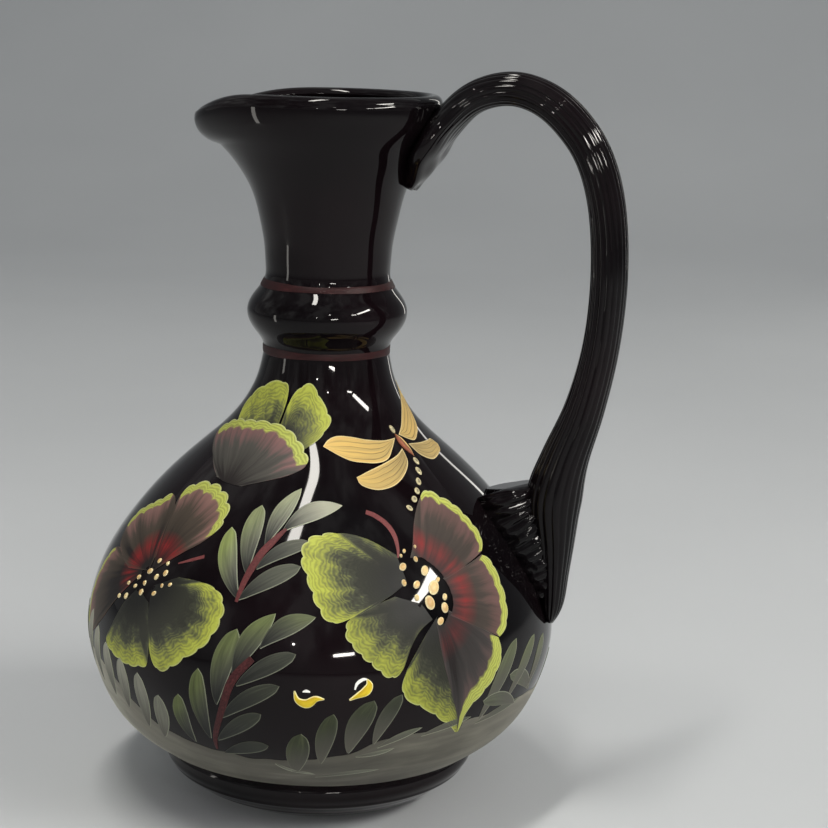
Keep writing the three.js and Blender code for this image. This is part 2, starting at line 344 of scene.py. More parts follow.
# Stations [x, z, thickness, width] from the tail of the mouth pad, over the arch, to the tip. The sizes
# are more or less than the strap's.
STRAP_STATIONS = [
    (26, 201.5, -6.6, -7),
    (29.6, 208, -3.1, 8),
    (34, 216, -2.6, 17),
    (38.8, 223, -2.1, 11),
    (46, 230, -1.6, 3),
    (57, 233.2, -1, 0),
    (67.5, 230.8, -0.6, 0),
    (76.4, 224.2, 0, 0),
    (84.2, 213.5, 0, 0),
    (89, 198, 0, 0),
    (90.7, 177, 0, 0),
    (89.2, 154.5, 0, 0),
    (84.8, 134, 1.2, 0),
    (79.2, 117.5, 3.8, 0.5),
    (76.2, 104, 6.5, 2),
    (77.2, 90, 1, 2),
    (77.6, 78, -3, -0.5),
    (77.6, 71, -4.4, -2.5),
    (77.2, 66, -6.2, -6.5),
    (76.8, 63.2, -9.2, -12),
]

# Stations up the belly for the crimped pad in the corner behind the strap.
PAD_STATIONS = [
    (75, 71.5, 7, 10),
    (74, 79, 14, 16.5),
    (69, 89, 19, 20),
    (63, 98, 22, 20),
    (60.5, 106, 21, 19),
]


def even_section(thick, wide, sides):
    """An oval of a thickness and a width, as points spread evenly round it and their normals."""
    fine = np.linspace(0, 2 * np.pi, 721)
    squareness = 0.86
    x = thick / 2 * np.sign(np.cos(fine)) * np.abs(np.cos(fine)) ** squareness
    y = wide / 2 * np.sign(np.sin(fine)) * np.abs(np.sin(fine)) ** squareness
    oval = np.column_stack([x, y])
    along = distance_along(oval)
    place = sampled(oval, along, np.arange(sides) / sides * along[-1])
    tangent = unit(np.roll(place, -1, axis=0) - np.roll(place, 1, axis=0))
    return place, np.column_stack([tangent[:, 1], -tangent[:, 0]])


def swept(stations, step, sides, relief):
    """Points and faces of an oval bar along its stations. `relief(distance, length, share)` adds height
    to its surface, from the distance along the bar, its length and the share of the way round."""
    path = resampled(catmull_rom(stations), step)
    path = softened(path, 2.5 / step)
    along = distance_along(path)
    tangent = unit(np.gradient(path[:, :2], along, axis=0))
    share = np.arange(sides) / sides
    rings = []
    for (x, z, thick, wide), (tx, tz), distance in zip(path, tangent, along):
        place, normal = even_section(thick, wide, sides)
        place = place + normal * relief(distance, along[-1], share)[:, None]
        rings.append(np.column_stack([x - place[:, 0] * tz, place[:, 1], z + place[:, 0] * tx]))
    return closed_tube(np.array(rings), rings[0].mean(0), rings[-1].mean(0))


def strap_relief(distance, length, share):
    """Narrow grooves between rounded reeds, which run out where the strap is pressed flat."""
    drift = 0.25 * math.sin(distance / 40)
    reed = np.abs(np.sin(np.pi * (REEDS * share + drift))) ** 0.55 - 1
    strength = smoothstep(distance, 12, 34)
    pinch = smoothstep(distance, length - 6, length)
    lumps = ripple(share * 19 + distance / 2.1, share * 31 - distance / 3.3)
    press = 0.35 * lumps * (1 - strength)
    return REED_DEPTH * strength * (1 - pinch) * reed + press


def pad_relief(distance, length, share):
    """Crimps pinched across the pad."""
    angle = 2 * np.pi * share
    slant = 1.3 * np.cos(angle) + 0.5 * np.sin(2 * angle)
    crimp = np.abs(np.sin(np.pi * (distance + slant) / CRIMP_PITCH)) ** 0.7 - 0.6
    pucker = ripple(angle * 5 + distance, angle * 8 - distance * 0.7)
    return CRIMP_DEPTH * crimp + 0.3 * pucker


def kept_outside(points, skin, depth):
    """Moves points that lie deep inside the body out to `depth` under its skin."""
    radius = np.hypot(points[:, 0], points[:, 1])
    body = np.interp(points[:, 2], skin.height, skin.radius) - depth
    grow = np.where(radius < body, body / np.maximum(radius, 1), 1)
    return points * np.column_stack([grow, grow, np.ones_like(grow)])


def make_handle(skin, material):
    stations = np.array(STRAP_STATIONS) + (0, 0, STRAP_THICKNESS, STRAP_WIDTH)
    strap, faces = swept(stations, STRAP_STEP, STRAP_SIDES, strap_relief)
    pad, pad_faces = swept(PAD_STATIONS, PAD_STEP, PAD_SIDES, pad_relief)
    faces += [tuple(len(strap) + i for i in face) for face in pad_faces]
    points = kept_outside(np.vstack([strap, pad]), skin, HANDLE_SUNK)
    mesh_piece("reeded_handle", points, faces, ["handle"], material)


# ---- painting on the skin

ENAMEL_LIFT = 0.1
ENAMEL_SUNK = 0.25

# Unit in millimetres of a place in a petal, measured from its root.
HEART_UNIT = 30
# A petal's rim comes and goes over this many millimetres each side of where it begins and ends.
RIM_FADE = 1.5
# Along a petal's plain sides the rim counts as this much farther off.
SIDE_INSET = 9

# How finely strokes are meshed.
PETAL_STEP = 0.4
STROKE_STEP = 0.6
PETAL_ROWS = 26
BLADE_ROWS = 34
BLADE_COLUMNS = 15


class Chart:
    """A flat sheet laid on the skin round one spot: x to the right and y up, in millimetres."""

    def __init__(self, skin, turn, height):
        self.skin, self.turn, self.arc = skin, turn, skin.arc_at(height)

    def spot(self, x, y):
        """Turn and distance along the outline of a place on the sheet."""
        arc = self.arc + y
        return self.turn + np.degrees(x / self.skin.rows_at(arc)[0]), arc

    def sheet(self, turn, height):
        """Where a turn and height fall on the sheet."""
        arc = self.skin.arc_at(height)
        return math.radians(turn - self.turn) * self.skin.rows_at(arc)[0], arc - self.arc


class Coat:
    """Enamel laid patch by patch on the skin, which then becomes one piece.

    Every point carries two vectors that its material reads: `brush` says where it lies in its
    stroke, and `paint` holds the stroke's own seed and tones."""

    def __init__(self, skin):
        self.skin = skin
        self.points, self.faces, self.tags = [], [], []

    def lay(self, turn, arc, brush, paint, lift=ENAMEL_LIFT):
        """Adds a grid of places, with its border turned down into the glass."""
        turn, arc, lift, *tags = np.broadcast_arrays(turn, arc, lift, *brush, *paint)
        rows, columns = turn.shape
        first = len(self.points)
        top = self.skin.places(turn, arc, lift)
        ring = border(rows, columns)
        sunk = self.skin.places(turn.ravel()[ring], arc.ravel()[ring], -ENAMEL_SUNK)
        self.points += [*top.reshape(-1, 3), *top.reshape(-1, 3)[ring], *sunk]
        flat = np.stack(tags, axis=-1).reshape(rows * columns, -1)
        self.tags += [*flat, *flat[ring], *flat[ring]]
        edge, around = first + rows * columns, len(ring)
        quads = grid_faces(rows, columns, first, wrap=False)
        quads += [quad[::-1] for quad in grid_faces(2, around, edge)]
        middle = top[rows // 2, columns // 2]
        down = top[rows // 2 - 1, columns // 2] - middle
        back = top[rows // 2, columns // 2 - 1] - middle
        outwards = np.dot(np.cross(down, back), (middle[0], middle[1], 0)) > 0
        self.faces += [quad[::-1] for quad in quads] if outwards else quads

    def piece(self, name, nodes, slot, material):
        made = mesh_piece(name, self.points, self.faces, nodes, material)
        tags = np.array(self.tags, np.float32)
        for key, values in (("brush", tags[:, :3]), ("paint", tags[:, 3:])):
            layer = made.data.attributes.new(key, "FLOAT_VECTOR", "POINT")
            layer.data.foreach_set("vector", values.ravel())


def border(rows, columns):
    """Indices of a grid's border, once round."""
    index = np.arange(rows * columns).reshape(rows, columns)
    return np.concatenate([index[0], index[1:, -1], index[-1, -2::-1], index[-2:0:-1, 0]])


def lay_petal(coat, chart, petal, seed):
    """A petal as a fan from its root to a scalloped outline.

    brush: distance out from the root in HEART_UNITs, place along the outline in mm, distance in
    from the painted rim in mm. paint: seed, depth of the lime paint and distance in from the petal's
    sides in mm."""
    per_span = 14
    path = catmull_rom(petal.outline, per_span)
    along = distance_along(path)
    start, end = (along[min(i * per_span, len(along) - 1)] for i in petal.rim)
    wanted = np.arange(0, along[-1], PETAL_STEP)
    path = sampled(path, along, wanted)
    share = np.clip((wanted - start) / (end - start), 0, 1)
    begun, ended = (smoothstep(wanted, at - RIM_FADE, at + RIM_FADE) for at in (start, end))
    inside = begun * (1 - ended)
    lobe = np.abs(np.sin(np.pi * (share * petal.lobes + 0.06 * np.sin(9 * share + seed)))) ** 0.6
    root = catmull_rom(np.atleast_2d(petal.root))
    inner = distance_along(root)
    root = sampled(root, inner, wanted / along[-1] * inner[-1])
    ray = path - root
    length = np.hypot(*ray.T)
    reach = length + petal.scallop * (lobe - 0.6) * inside
    ray *= (reach / length)[:, None]
    out = np.linspace(petal.start, 1, PETAL_ROWS)[:, None]
    turn, arc = chart.spot(root[:, 0] + out * ray[:, 0], root[:, 1] + out * ray[:, 1])
    rim = (1 - out) * reach + SIDE_INSET * (1 - inside)
    side = np.minimum(wanted, along[-1] - wanted) * out
    brush = (out * reach / HEART_UNIT, wanted, rim)
    coat.lay(turn, arc, brush, (seed, petal.band, side), ENAMEL_LIFT + petal.over)


def lay_blade(coat, chart, left, right, seed, tones=(0.5, 0.5), lift=ENAMEL_LIFT, dome=0.0):
    """A long stroke between two edges that run from its root to its tip.

    brush: share of the way along, -1 to 1 across, distance in from the nearer edge in mm.
    paint: seed and two tones."""
    edges = []
    for path in (catmull_rom(left), catmull_rom(right)):
        along = distance_along(path)
        edges.append(sampled(path, along, np.linspace(0, along[-1], BLADE_ROWS)))
    across = np.linspace(-1, 1, BLADE_COLUMNS)
    near, far = edges
    place = near[:, None] + (far - near)[:, None] * ((across + 1) / 2)[:, None]
    half = np.hypot(*(far - near).T)[:, None] / 2
    turn, arc = chart.spot(place[..., 0], place[..., 1])
    lift = lift + dome * np.sqrt(np.maximum(1 - across**2, 0)) * np.minimum(half, 1)
    brush = (np.linspace(0, 1, BLADE_ROWS)[:, None], across, (1 - np.abs(across)) * half)
    coat.lay(turn, arc, brush, (seed, *tones), lift)


def leaf_edges(tip, width, bend, blunt):
    """Two edges of a leaf from the origin to its tip, `width` wide and bowed by `bend`."""
    t = np.linspace(0, 1, 13)
    tip = np.array(tip, float)
    length = np.hypot(*tip)
    along, aside = tip / length, np.array([-tip[1], tip[0]]) / length
    bow = 4 * bend * t * (1 - t)
    fullest, roundness = (1.45, 0.55) if blunt else (1.2, 0.8)
    half = width / 2 * np.sin(np.pi * t**fullest) ** roundness + 0.3 * (1 - t)
    middle = t[:, None] * length * along + bow[:, None] * aside
    return middle + half[:, None] * aside, middle - half[:, None] * aside


def lay_leaf(coat, skin, leaf, seed, lift):
    """A leaf [turn, height, tip right, tip up, width, bend, light, green] from its base."""
    turn, height, right, up, width, bend, light, green = leaf[:8]
    edges = leaf_edges((right, up), width, bend, blunt=len(leaf) > 8)
    lay_blade(coat, Chart(skin, turn, height), *edges, seed, (light, green), lift)


def lay_stroke(coat, chart, path, seed, tones, lift=ENAMEL_LIFT, dome=0.0):
    """A brush stroke along [x, y, width] points."""
    path = resampled(catmull_rom(path), STROKE_STEP)
    tangent = unit(np.gradient(path[:, :2], axis=0))
    aside = np.column_stack([-tangent[:, 1], tangent[:, 0]]) * path[:, 2:] / 2
    lay_blade(coat, chart, path[:, :2] + aside, path[:, :2] - aside, seed, tones, lift, dome)


def lay_bead(coat, chart, bead, seed, tone, height=0.5):
    """A domed dot of enamel [x, y, length, width, lean], its length turned `lean` degrees from the right.

    brush: share of the way out from its middle, angle, 0. paint: seed and tone."""
    x, y, length, width, lean = bead
    out = np.linspace(0.04, 1, 7)[:, None]
    angle = np.linspace(0, 2 * np.pi, 21)[None, :]
    lengthwise = out * length / 2 * np.cos(angle)
    sideways = out * width / 2 * np.sin(angle)
    c, s = math.cos(math.radians(lean)), math.sin(math.radians(lean))
    turn, arc = chart.spot(x + lengthwise * c - sideways * s, y + lengthwise * s + sideways * c)
    dome = ENAMEL_LIFT + height * np.sqrt(np.maximum(1 - out**2, 0))
    coat.lay(turn, arc, (out, angle, 0), (seed, tone, 0), dome)


class Petal(NamedTuple):
    """A petal, in millimetres right of and above its flower's heart.

    Between the outline's points `rim` the edge is scalloped, and rimmed with lime to the depth `band`.
    Its root is a point or a curve. The paint begins the share `start` of the way out from the root,
    and lies `over` the petals under it."""

    root: tuple
    rim: tuple
    lobes: int
    band: float
    outline: list
    over: float = 0
    scallop: float = 0.9
    start: float = 0.05


# The heart of each flower as [turn, height].
HEARTS = {"top_flower": (-110, 112), "left_flower": (-126, 83), "right_flower": (-48, 86)}

TOP_BACK = [
    Petal(
        (2, 12), (0, 7), 5, 20, scallop=0.7,
        outline=[(-14, 17), (-19, 24), (-17, 29), (-12, 33), (-6, 36), (-2, 37), (1, 36), (2, 31), (2, 22)],
    ),
    Petal(
        (6, 14), (1, 8), 5, 20, over=0.03,
        outline=[(3, 22), (3, 30), (5, 35), (8, 37), (11, 35), (14, 31), (18, 26), (18, 21), (15, 15)],
    ),
]
TOP_FRONT = [
    Petal(
        [(-9, -0.2), (-5.5, -1.5), (-2, -1.9), (1.4, -1.4)], (3, 10), 9, 3.2, over=0.07, start=0.02,
        outline=[
            (-10, 0), (-14, 3), (-20, 8), (-28, 14), (-20, 20), (-11, 22), (-3, 23),
            (5, 22), (11, 18), (15, 14), (18, 9), (15, 5), (9, 2), (2, -1),
        ],
    ),
]
LEFT_PLUM = [
    Petal(
        (-2, 2), (3, 7), 6, 2.4,
        outline=[
            (-11, -8), (-16, -15), (-22, -21), (-30, -26), (-36, -25),
            (-39, -15), (-36, -5), (-30, 2), (-20, 4),
        ],
    ),
    Petal(
        (-1, 2), (2, 6), 5, 2.4, over=0.03,
        outline=[
            (-12, 0), (-27, 4), (-31, 9), (-29, 15), (-22, 20), (-16, 24), (-11, 27), (-5, 22), (-1, 10),
        ],
    ),
    Petal(
        (1, 2), (2, 8), 6, 3.6, over=0.06, scallop=1.6,
        outline=[
            (-2, 10), (-5, 20), (-7, 28), (-4, 33), (2, 35), (8, 34),
            (14, 30), (17, 24), (16, 18), (12, 13), (6, 8),
        ],
    ),
]
LEFT_LIME = [
    Petal(
        (-2, -4), (2, 6), 5, 13, scallop=0.6,
        outline=[
            (-7, -10), (-11, -18), (-14, -24), (-8, -27), (0, -28), (6, -27), (10, -25), (9, -16), (5, -7),
        ],
    ),
    Petal(
        (4, -2), (1, 9), 9, 13, over=0.05,
        outline=[
            (7, -12), (11, -22), (15, -26), (20, -24), (25, -20), (30, -16),
            (33, -10), (33, -4), (29, 1), (22, 3), (13, 3),
        ],
    ),
]
RIGHT_LOW = [
    Petal(
        (3, -9), (2, 8), 5, 15,
        outline=[
            (-2, -14), (-6, -19), (-10, -25), (-11, -31), (-7, -35), (-2, -38),
            (3, -42), (8, -46), (11, -49), (13, -42), (13, -30),
        ],
    ),
    Petal(
        (-2, -5), (2, 7), 7, 15, over=0.04,
        outline=[
            (-10, -2), (-19, -5), (-25, -8), (-27, -13), (-24, -18), (-20, -22),
            (-15, -26), (-11, -24), (-8, -18), (-4, -13), (1, -10),
        ],
    ),
]
RIGHT_LIME = [
    Petal(
        (-5, 2), (2, 8), 8, 17, over=0.08, scallop=1.1,
        outline=[
            (-6, 11), (-14, 17), (-22, 19), (-31, 17), (-35, 11), (-35, 4),
            (-34, -4), (-31, -9), (-25, -8), (-18, -5), (-10, -1),
        ],
    ),
]
RIGHT_PLUM = [
    Petal(
        [(-2, 9), (0, 5.5), (2.5, 2.5), (4.5, 0)], (2, 8), 7, 2.6, over=0.05, scallop=0.8, start=0.16,
        outline=[
            (0, 12.5), (4, 22), (9, 29), (13, 31), (17, 28), (22, 24), (26.5, 17.5), (29, 11.5), (27, 6.8),
        ],
    ),
    Petal(
        [(4, 1), (5, -2.5), (4.8, -5.5), (3.5, -8)], (0, 5), 5, 3.2, over=0.045, scallop=0.8, start=0.16,
        outline=[(26.4, 6), (30, 2.6), (31.5, -4), (32, -10), (30.4, -16.5), (26, -20)],
    ),
]
RIGHT_DUSK = [
    Petal(
        [(4.2, -6.5), (3, -8.8), (2.4, -9.4), (1.8, -10)], (0, 5), 6, 5, over=0.035, scallop=0.6, start=0.12,
        outline=[
            (25.6, -20), (26.2, -26), (23, -31.5), (18.4, -36), (13, -41),
            (11, -49), (10, -44), (6, -34), (3, -24), (2, -16),
        ],
    ),
]

# Stamens as [right, up, size] from their flower's heart.
LEFT_STAMENS = [
    (2, 6, 1.9), (6, 6, 1.4), (0, 2, 2.4), (7, 3, 2.2), (4, 1, 2.1), (-4, -1, 1.9), (0, -2, 1.7),
    (-8, -4, 1.6), (-4, -4, 1.6), (8, -1, 1.5), (11, 0, 1.6), (-7, -8, 2.2), (0, -5, 2.2), (6, -4, 2.0),
    (-11, -9, 1.6),
]
RIGHT_STAMENS = [
    (-3, 12, 1.4), (-4.5, 10.6, 1.2), (-5, 7, 2.9), (-6, 2, 2.2), (-3, -3, 2.2), (-2, 1, 2.8), (0, 9, 1.9),
    (2, 5, 3.4), (3.5, -0.6, 4.8), (1, -5, 4.4), (5.6, 1.6, 1.8), (6.6, -4, 2.2), (5.8, -7.2, 3.3),
    (3.4, -11, 2.7), (1, 13, 1.2),
]

# Tendrils as [right, up, width] from their flower's heart.
LEFT_TENDRIL = [(10, 7, 0.4), (14, 9, 1.0), (18, 11, 1.2)]
RIGHT_TENDRIL = [
    (-11, 26, 1.6), (-8.6, 24.6, 1.7), (-6, 21.6, 1.7), (-4.6, 17.6, 1.5), (-4.8, 13, 1.0), (-5.6, 10, 0.5),
]

# Leaves as [turn, height, tip right, tip up, width, bend, light, green], and a ninth for a blunt tip.
UPPER_LEAVES = [
    (-96, 82.7, -8.4, 22.4, 6.2, 2.2, 0.60, 1.0, 1),
    (-95.5, 89.6, -1.2, 23, 6, 1.2, 0.56, 0.6, 1),
    (-92, 97.2, 6.6, 20.6, 5.4, 1.0, 0.66, 0.35),
    (-87.5, 101.2, 16.6, 9.4, 6.4, 2.4, 1.0, 0.1),
    (-93, 91.1, 14.8, 9.6, 4.8, 1.8, 0.36, 0.05, 1),
    (-96, 82.7, 16.6, 11.8, 5.8, 1.2, 0.34, 0.1, 1),
]
LOWER_LEAVES = [
    (-99, 51.5, 5.1, 23.9, 6.8, 1.0, 0.38, 0.8, 1),
    (-95, 61.7, 11.1, 19.3, 6.4, 1.4, 0.40, 0.8),
    (-89, 70.2, 15.8, 10, 5.8, 2.0, 0.37, 0.5),
    (-94, 58.5, 17.6, 10.8, 5.2, 0.9, 0.17, 0.1, 1),
    (-98, 47.2, 18.7, 12.5, 5, 1.4, 0.15, 0.15, 1),
    (-100, 38.7, 15.5, 12, 4.8, 0.7, 0.13, 0.15, 1),
    (-99, 34, 15, 5.5, 4.4, 0.8, 0.08, 0.1, 1),
    (-102, 38.8, -2.2, 23.8, 5.9, 1.0, 0.30, 0.9, 1),
    (-107, 36, -3, 17.2, 5.4, 1.4, 0.34, 0.85, 1),
]
GRASS = [
    (-81, 28.5, 2.3, 17.8, 6.8, 0.3, 0.17, 0.6, 1),
    (-74.5, 33, 3.5, 19.5, 5.6, 0.8, 0.14, 0.6, 1),
    (-68, 37, 7, 19, 6.8, 1.4, 0.13, 0.5, 1),
    (-62, 40, 7.6, 17, 4.6, 1.2, 0.12, 0.3, 1),
    (-33, 42, 15, 24, 5.6, 1.8, 0.36, 0.4, 1),
    (-24, 46, 15, 18, 4.6, 1.4, 0.40, 0.4, 1),
    (-14, 46, 10, 16, 4.6, 1.2, 0.44, 0.3, 1),
    (-19, 43, -19, 6, 4.8, -1.4, 0.34, 0.2, 1),
    (-12, 45, -17, 10, 5, -1.6, 0.36, 0.2, 1),
    (-150, 46, 2, 20, 6.5, 0.8, 0.8, 0.0, 1),
    (-143, 44, 1, 19, 6, 0.8, 0.78, 0.0, 1),
    (-136, 42, -1, 18, 6, -0.8, 0.74, 0.0, 1),
    (-130, 40, 1, 18, 6, -0.8, 0.7, 0.0, 1),
    (-123, 36, 1, 20, 6, -0.8, 0.62, 0.0, 1),
    (-118, 34, 3, 17, 5.8, -0.8, 0.56, 0.05, 1),
]
# Sweeps of the brush that end the ground band, as leaves with sharp tips.
BRUSH_TAILS = [
    (-61, 38.5, 14, 6, 2.2, 0.6, 0.42, 0.1),
    (-66, 35.5, 12, 2.5, 1.6, -0.4, 0.5, 0.1),
    (-76, 26.6, 20, 3.6, 2.0, 0.8, 0.5, 0.05),
    (-86, 32.2, 8, -4.6, 1.2, -0.5, 0.6, 0.05),
    (-82, 29.2, 7, -1.6, 1.0, 0.3, 0.6, 0.05),
    (-50, 41, 18, 3.4, 2.4, 0.6, 0.36, 0.1),
    (-34, 41, 22, 3, 2.6, 0.6, 0.36, 0.1),
]
# Stems as [turn, height, width].
UPPER_STEM = [(-96.5, 82, 1.0), (-95.4, 88, 1.9), (-93, 94.4, 2.4), (-90, 98.4, 2.2), (-86.6, 101.8, 1.0)]
LOWER_STEM = [(-101, 35, 0.7), (-100.6, 40, 1.6), (-97.6, 50.5, 2.2), (-95, 60, 2.6), (-90.6, 67, 2.2)]

# The dragonfly, in millimetres right of and above its thorax. Each wing has a brightness and two edges.
DRAGONFLY_AT = (-29, 121.5)
WINGS = [
    (
        0.75,
        [(-1.2, 3.2), (-6.1, 2.9), (-11.7, 3.8), (-16.5, 5.2), (-20.5, 5.6), (-24, 4.3), (-27, 1.8)],
        [(-1.2, 3.2), (-4.9, -0.5), (-8.9, -4), (-13.3, -5.1), (-17.5, -4.6), (-22, -3.3), (-27, 1.8)],
    ),
    (
        0.4,
        [(-1.1, -1), (-5, -3.2), (-11.6, -5.6), (-18, -7.8), (-23.4, -10)],
        [(-1.1, -1), (-2.4, -6), (-6.9, -10.5), (-13, -14), (-19.5, -15.1), (-23.6, -13), (-23.4, -10)],
    ),
    (
        0.95,
        [(1.2, 4.1), (4.4, 6.6), (8.6, 10.7), (12.9, 14.6), (18, 19), (20, 20)],
        [(1.2, 4.1), (6.5, 0.8), (10.9, 2.5), (14.2, 4.4), (17, 8), (20, 14), (20, 20)],
    ),
    (
        0.3,
        [(3, 0.1), (9.2, -0.7), (14, -1), (18, -1.4), (20.6, -4.2)],
        [(3, 0.1), (5, -4.8), (9.3, -7.6), (14.6, -7), (18.6, -6), (20.6, -4.2)],
    ),
]
DRAGONFLY_BODY = (
    [(-0.3, 4.6), (-0.9, 1.8), (-0.4, -0.8), (0.6, -2.8), (1.7, -4.6)],
    [(-0.3, 4.6), (1.0, 3.0), (1.9, 0.8), (2.1, -1.8), (1.7, -4.6)],
)
# Beads as [right, up, length, width, lean]. Strokes of the body with this seed or more are beads.
BEAD_SEED = 9
DRAGONFLY_HEAD = (-0.3, 6.3, 3.0, 1.5, 96)
TAIL = [
    (1.1, -6.5, 2.9, 1.7, -92),
    (-0.8, -10.2, 3.1, 1.8, -95),
    (-3.7, -13.9, 3.0, 1.8, -117),
    (-6.6, -17.1, 2.6, 1.7, -115),
    (-9.5, -19.8, 2.6, 1.8, -130),
    (-13.1, -22.6, 2.2, 1.8, -70),
]

# Each crescent's [turn, height], then its yellow and its white stroke as [right, up, width].
CRESCENTS = {
    "left_crescent": (
        (-77, 56),
        [(-4.9, 2.4, 0.5), (-4, -0.4, 1.8), (-1.2, -1.5, 2.9), (1.4, 0.1, 2.0), (4, 0, 0.4)],
        [(-2.5, 2.2, 0.3), (-1.4, 2.5, 0.9), (-0.2, 2.2, 0.3)],
    ),
    "right_crescent": (
        (-68, 57),
        [(-0.6, -1.3, 0.6), (1.6, -0.1, 1.6), (4.3, 1.3, 2.9), (5.3, 3.2, 2.2), (4.6, 4.9, 0.5)],
        [(1, 1.9, 0.4), (1.6, 3.7, 0.9), (3.3, 4.9, 0.9), (4.6, 4.9, 0.4)],
    ),
}

# The ground band's lower edge, then as [turn, height] and [turn, share] once round its upper edge and
# how pale it is. The paleness that rises towards the body's sides seen from the camera is painted
# reflection.
GROUND_LOW = 20.3
GROUND_TOP = [
    (-180, 46), (-160, 52), (-145, 53), (-132, 48), (-122, 40), (-112, 36.5), (-103, 34.5), (-92, 33.6),
    (-80, 34), (-69, 36.4), (-58, 41.5), (-47, 42.3), (-35, 43), (-18, 44), (0, 42), (35, 38), (80, 36),
    (125, 40), (155, 42), (180, 46),
]
GROUND_PAINTED_SHEEN = [
    (-180, 0.85), (-165, 1), (-142, 0.85), (-118, 0.4), (-95, 0.12), (-60, 0.1), (-38, 0.32), (-12, 0.6),
    (40, 0.4), (120, 0.4), (180, 0.85),
]


# ---- painted pieces


def make_petals(skin, flower, kind, petals, slot, material):
    coat = Coat(skin)
    chart = Chart(skin, *HEARTS[flower])
    for i, petal in enumerate(petals):
        lay_petal(coat, chart, petal, seed=1.7 * i + len(flower))
    coat.piece(f"{flower}_{kind}_petals", [flower], slot, material)


def make_heart(skin, flower, stamens, tendril, beads, line_paint):
    """A flower's stamens, and the thin tendril that leaves them."""
    chart = Chart(skin, *HEARTS[flower])
    coat = Coat(skin)
    for i, (x, y, size) in enumerate(stamens):
        lean = 70 + 25 * math.sin(2.3 * i)
        lay_bead(coat, chart, (x, y, size, 0.72 * size, lean), seed=i, tone=0.5 + 0.4 * math.sin(1.9 * i))
    coat.piece(f"{flower}_stamens", [flower], "ochre_enamel", beads)
    coat = Coat(skin)
    lay_stroke(coat, chart, tendril, seed=3, tones=(0.7, 0.5))
    coat.piece(f"{flower}_tendril", [flower], "maroon_enamel", line_paint)


def make_leaves(skin, name, leaves, node_name, material):
    coat = Coat(skin)
    for i, leaf in enumerate(leaves):
        lay_leaf(coat, skin, leaf, seed=2.1 * i + 1, lift=ENAMEL_LIFT + 0.012 * (i % 4))
    coat.piece(name, [node_name], "leaf_enamel", material)


def make_stem(skin, name, path, light, node_name, material):
    coat = Coat(skin)
    turn, height, _ = path[0]
    chart = Chart(skin, turn, height)
    points = [(*chart.sheet(t, z), width) for t, z, width in path]
    lay_stroke(coat, chart, points, len(name), (light, 0), lift=ENAMEL_LIFT + 0.06, dome=0.12)
    coat.piece(name, [node_name], "maroon_enamel", material)


def make_dragonfly(skin, wing_paint, body_paint):
    chart = Chart(skin, *DRAGONFLY_AT)
    wings = Coat(skin)
    for i, (brightness, upper, lower) in enumerate(WINGS):
        lay_blade(wings, chart, upper, lower, 1.3 * i + 2, (brightness, 0), ENAMEL_LIFT + 0.02 * i)
    wings.piece("dragonfly_wings", ["dragonfly"], "ochre_enamel", wing_paint)
    body = Coat(skin)
    lay_blade(body, chart, *DRAGONFLY_BODY, seed=5, lift=ENAMEL_LIFT + 0.08, dome=0.5)
    lay_bead(body, chart, DRAGONFLY_HEAD, seed=BEAD_SEED, tone=0.6)
    for i, bead in enumerate(TAIL, 1):
        lay_bead(body, chart, bead, seed=BEAD_SEED + i, tone=0.5, height=0.3)
    body.piece("dragonfly_body", ["dragonfly"], "ochre_enamel", body_paint)


def make_crescents(skin, material):
    for name, (spot, yellow, white) in CRESCENTS.items():
        coat = Coat(skin)
        chart = Chart(skin, *spot)
        lay_stroke(coat, chart, yellow, seed=1, tones=(0.5, 0), dome=0.25)
        lay_stroke(coat, chart, white, seed=2, tones=(0.5, 1), lift=ENAMEL_LIFT + 0.03)
        coat.piece(f"{name}_mark", [name], "yellow_enamel", material)


def make_neck_band(skin, name, height, material):
    turn = np.linspace(-180, 180, AROUND + 1)[None, :]
    share = np.linspace(-1, 1, 7)[:, None]
    angle = np.radians(turn)
    half = NECK_BAND_WIDTH / 2 + 0.18 * np.sin(2 * angle + np.radians(40)) + 0.1 * np.sin(5 * angle)
    arc = skin.arc_at(height) + share * half
    lift = ENAMEL_LIFT + 0.18 * np.sqrt(np.maximum(1 - share**2, 0))
    coat = Coat(skin)
    coat.lay(turn, arc, ((turn + 180) / 360, share, half - np.abs(share) * half), (1, 0, 0), lift)
    coat.piece(f"{name}_stroke", [name], "maroon_enamel", material)


def ground_top(turn):
    """Height of the ground band's upper edge, with the wobble of brush ends."""
    knots = catmull_rom(GROUND_TOP)
    smooth = np.interp(turn, knots[:, 0], knots[:, 1])
    angle = np.radians(turn)
    return smooth + 0.5 * ripple(17 * angle, 29 * angle + 1, 41 * angle + 2)


def make_ground_band(skin, material):
    turn = np.linspace(-180, 180, 2 * AROUND + 1)[None, :]
    share = np.linspace(0, 1, 16)[:, None]
    low, high = skin.arc_at(GROUND_LOW), skin.arc_at(ground_top(turn))
    around = np.radians(turn + 180) * 70
    # Paleness round the band, highest towards the body's sides seen from the camera: painted reflection.
    pale = np.interp(turn, *np.array(GROUND_PAINTED_SHEEN).T)
    coat = Coat(skin)
    coat.lay(turn, low + share * (high - low), (around, share, (1 - share) * (high - low)), (1, pale, share))
    coat.piece("ground_band_strokes", ["ground_band"], "ground_enamel", material)


def back_grass():
    """Blunt leaves that carry the front's grass on round the back."""
    leaves = []
    for i, turn in enumerate(range(2, 204, 8)):
        lean = 4 + 3 * math.sin(2.7 * i)
        height = ground_top(turn if turn <= 180 else turn - 360) - 5 + 1.5 * math.sin(1.3 * i)
        rise = 16 + 3.5 * math.sin(1.9 * i)
        leaves.append((turn, height, lean, rise, 5.2, 0.25 * lean, 0.36, 0.35, 1))
    return leaves


# ---- shader tools


